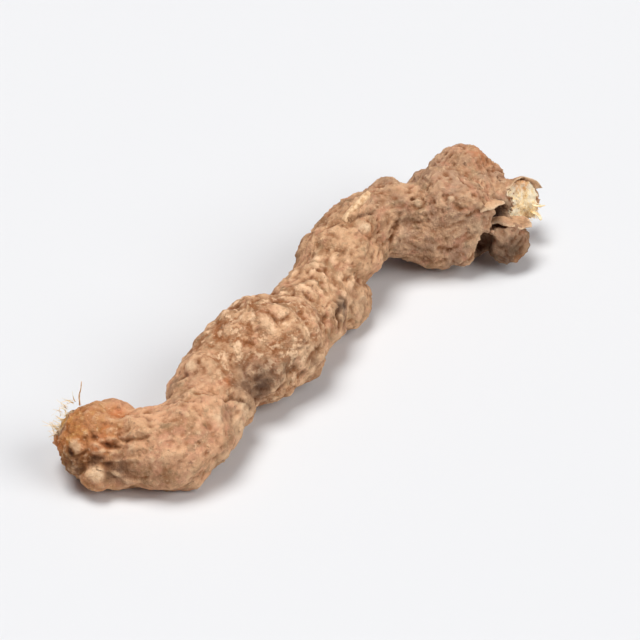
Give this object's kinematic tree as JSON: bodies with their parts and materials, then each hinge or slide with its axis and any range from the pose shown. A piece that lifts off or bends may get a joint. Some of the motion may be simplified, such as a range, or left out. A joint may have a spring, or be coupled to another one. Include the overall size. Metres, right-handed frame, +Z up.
{
  "type": "atractylodes rhizome",
  "caption": "Dried rhizome of swollen, knobbly joints grown in a slack S, with a snapped toe, a broken head that shows pale wood, and settled flats underneath that it rests on.",
  "frame": {"origin": "on the surface the piece rests on, under the middle of its bounding box", "axes": "+Z up, +X along the length from the snapped toe to the head, +Y to the left when looking from toe to head"},
  "size_m": [0.0832, 0.0268, 0.0142],
  "materials": {
    "bark": "dry, matt, wrinkled bark"
  },
  "bodies": {
    "root": {"rhizome": "bark"}
  },
  "joints": []
}
